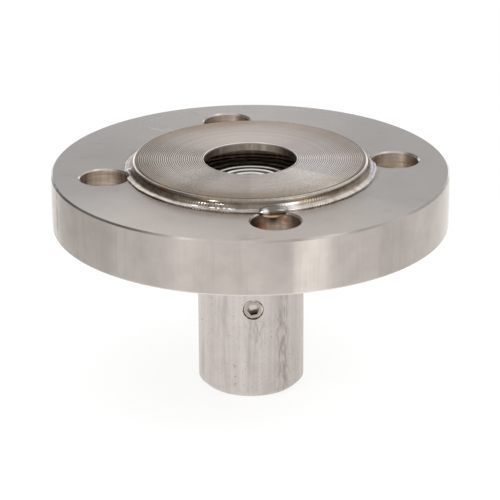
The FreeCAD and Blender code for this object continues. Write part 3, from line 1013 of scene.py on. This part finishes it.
# %% [markdown]
# Where the bead crosses the front bolt hole, the puddle ran over the edge and froze as a smooth lip on the
# hole's wall. It is a sphere pulled into an egg and fused with the bead. Metaballs could flow together more
# softly, but would lose the bead's fine ripple. Two smaller ones sit at the holes on the left and right.

# %% Frozen drips
def freeze_drip(piece, centre, radii):
    """Fuses an egg of weld metal with the bead."""
    clear_selection()
    bpy.ops.mesh.primitive_uv_sphere_add(segments=48, ring_count=24, radius=MM)
    drip = bpy.context.object
    drip.scale = radii
    drip.rotation_euler.z = math.atan2(centre[1], centre[0])
    drip.location = Vector(centre) * MM
    apply_placement(drip)
    combine(piece, drip, "UNION")


freeze_drip(face_weld, (0.6, -35.5, 65.95), (1.9, 4.6, 1.75))
freeze_drip(face_weld, (-35.1, 0.6, 66.5), (1.2, 3.0, 1.1))
freeze_drip(face_weld, (35.3, -1.6, 66.0), (0.8, 1.6, 0.6))
tidy_mesh(face_weld)
hand_over(face_weld, weld_steel, "weld_steel", "face_weld", smooth=50)

# %% [markdown]
# The stem's bead is smaller and sits in the corner under the capsule, where only a low camera sees it. It is
# made as the first one is, from two sections of its own.

# %% Stem weld
LEAN_STEM_BEAD = [
    (STEM_R, CAPSULE_BACK_Z), (17.0, CAPSULE_BACK_Z), (17.02, 50.88), (16.85, 50.74), (16.5, 50.64),
    (16.2, 50.45), (15.92, 50.12), (15.72, 49.8), (STEM_R, 49.55),
]
FULL_STEM_BEAD = [
    (STEM_R, CAPSULE_BACK_Z), (17.15, CAPSULE_BACK_Z), (17.16, 50.82), (17.0, 50.6), (16.68, 50.42),
    (16.34, 50.2), (16.02, 49.9), (15.76, 49.66), (STEM_R, 49.5),
]
stem_weld = turn_on_lathe("stem_weld_bead", LEAN_STEM_BEAD, 480)
melt_bead(
    stem_weld, LEAN_STEM_BEAD, FULL_STEM_BEAD,
    fullness=lambda angle: 0.5 + 0.5 * unevenness(angle, THROAT_SEEDS),
    toe_mm=0.12,
    ripple_mm=lambda angle: 0.09,
    pitch=0.85,
)
hand_over(stem_weld, weld_steel, "weld_steel", "stem_weld", smooth=50)

# %% [markdown]
# ## The sealing pad
# The pad under the screw is a plain disc and its solid is right as it is, so it only gets its copper.

# %% Sealing pad
sealing_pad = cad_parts["sealing_pad"]
sealing_pad.data.materials.clear()
sealing_pad.data.materials.append(pad_copper)
print("sealing pad painted")

# %% [markdown]
# ## Table and light
# The photograph was cut out on white, from a shot in a bright tent. The table is a pale plane that lights up
# a little by itself for the camera and for reflections, so it reads as white and still keeps a soft shadow.
# The tent is the world: bright overhead and behind, dimmer at the sides. Steel shows little but what it
# reflects, so this pattern is what shapes the rim and the stem. A small softbox adds light from the left.

# %% Table and light
TABLE_R, TABLE_Z = 150.0, -0.2
bpy.ops.mesh.primitive_circle_add(
    vertices=128, radius=TABLE_R * MM, fill_type="NGON", location=(0, 0, TABLE_Z * MM))
table = bpy.context.object
table.name = "table"
table_white = bpy.data.materials.new("table_white")
table_white.use_nodes = True
tree = table_white.node_tree
tree.nodes.clear()
paths = add_node(tree, "LightPath").node
seen = largest(*(paths.outputs[f"Is {kind} Ray"] for kind in ("Camera", "Glossy", "Transmission")))
matt = add_node(tree, "BsdfDiffuse", {"Color": (0.3, 0.3, 0.3, 1)})
plain = add_node(tree, "BsdfDiffuse", {"Color": (0.8, 0.8, 0.8, 1)})
glow_colour = blend_colours(paths.outputs["Is Glossy Ray"], (0.8, 0.8, 0.8), (0.875, 0.845, 0.82))
glow = add_node(tree, "Emission", {"Color": glow_colour, "Strength": 1.0})
lit = add_node(tree, "AddShader", {0: matt, 1: glow})
top_side = add_node(tree, "MixShader", {0: seen, 1: plain, 2: lit})
under_side = add_node(tree, "BsdfTransparent")
from_below = add_node(tree, "NewGeometry").node.outputs["Backfacing"]
table_surface = add_node(tree, "MixShader", {0: from_below, 1: top_side, 2: under_side})
add_node(tree, "OutputMaterial", {"Surface": table_surface})
table.data.materials.append(table_white)
print(f"table ready, its top at {TABLE_Z} mm")

# %% [markdown]
# The tent is given in bands. Each band lists bearings, 0 towards the camera and 90 to its right, and how
# bright the tent is there. The sweep lies below the horizon and shapes the rim and the stem. The wall bands
# rise from the horizon, and the flat faces show their part behind the seal. A ring of lamps could do the
# same, but in a band each reflection is set by itself.

# %% Tent
SWEEP = (
    (-180, 1.33), (-168, 1.08), (-148, 0.89), (-140, 0.69), (-133, 0.74), (-124, 0.66), (-108, 0.7),
    (-99, 0.77), (-92, 0.7), (-88, 0.71), (-84.5, 0.89), (-79, 0.95), (-70, 0.88), (-58, 0.88),
    (-55, 0.96), (-48, 0.97), (-41, 1.2), (-28, 1.15), (8, 1.12), (16, 1.04), (20, 0.95), (23, 0.98),
    (27, 1.66), (42, 1.68), (46, 1.2), (49, 1.06), (76, 1.05), (81, 0.88), (99, 0.85), (104, 0.98),
    (140, 0.98), (180, 1.15),
)
LOW_WALL = (
    (-180, 1.68), (-175, 1.5), (-169, 1.25), (-165, 1.9), (-157, 1.9), (-153, 0.8), (-147, 0.4),
    (-140, 0.16), (-95, 0.12), (-70, 0.3), (-45, 0.5), (-20, 0.6), (22, 0.6), (50, 0.4), (75, 0.45),
    (110, 0.6), (150, 0.9), (154, 1.7), (163, 1.7), (168, 0.8), (173, 0.68), (176, 1.2), (180, 1.68),
)
WALL = (
    (-180, 0.72), (-172, 0.7), (-166, 0.9), (-160, 1.5), (-148, 1.5), (-142, 0.3), (-136, 0.15),
    (-95, 0.15), (-70, 0.25), (-45, 0.4), (-20, 0.6), (22, 0.6), (50, 0.4), (75, 0.35), (110, 0.5),
    (146, 0.8), (151, 1.5), (162, 1.5), (167, 0.6), (176, 0.64),
)
HIGH_WALL = (
    (-180, 1.02), (-172, 1.02), (-165, 1.3), (-140, 1.3), (-126, 0.25), (-100, 0.15), (-80, 0.35),
    (-55, 0.9), (0, 1.1), (36, 1.1), (44, 2.6), (70, 2.6), (80, 1.0), (120, 0.95), (135, 1.3),
    (155, 1.3), (165, 1.05),
)
world = bpy.data.worlds.new("tent")
bpy.context.scene.world = world
world.use_nodes = True
tree = world.node_tree
tree.nodes.clear()
direction = add_node(tree, "TexCoord")
turned = add_node(
    tree, "Mapping", {"Vector": direction, "Rotation": (0, 0, -CAMERA_TURN)}, vector_type="POINT")
right, ahead, rise = add_node(tree, "SeparateXYZ", {0: turned}).node.outputs
facing = calculate("ARCTAN2", right, product(ahead, -1.0))


def tent_band(stops):
    """Brightness by bearing, from a list. The ramp sorts its stops, so they are all placed first."""
    ramp = add_node(tree, "ValToRGB", {0: spread(facing, -math.pi, math.pi)}).node
    elements = ramp.color_ramp.elements
    while len(elements) < len(stops):
        elements.new(0.5)
    for element, (degrees, _) in zip(elements, stops):
        element.position = degrees / 360 + 0.5
    for element, (_, strength) in zip(elements, stops):
        element.color = (strength, strength, strength, 1)
    return ramp.outputs[0]


tent_light = paint(
    on_vectors("MULTIPLY", tent_band(SWEEP), (1.04, 1.0, 0.965)),
    (cover, spread(rise, -0.06, 0.0), tent_band(LOW_WALL)),
    (cover, spread(rise, 0.2, 0.215), tent_band(WALL)),
    (cover, spread(rise, 0.48, 0.58), tent_band(HIGH_WALL)),
    (cover, spread(rise, 0.82, 0.92), (1.05, 1.05, 1.05)),
    (cover, add_node(tree, "LightPath").node.outputs["Is Camera Ray"], (1, 1, 1)),
)
background = add_node(tree, "Background", {"Color": tent_light, "Strength": 1.0})
add_node(tree, "OutputWorld", {"Surface": background})

LAMP_PLACE, LAMP_SIZE, LAMP_WATTS = Vector((-496, -428, 509)), 50, 0.7
bpy.ops.object.light_add(type="AREA", location=LAMP_PLACE * MM)
lamp = bpy.context.object
lamp.name = "key_softbox"
lamp.data.size = LAMP_SIZE * MM
lamp.data.energy = LAMP_WATTS
lamp.rotation_euler = (Vector((0, 0, BACK_Z)) - LAMP_PLACE).to_track_quat("-Z", "Y").to_euler()
print("table, tent and softbox ready")
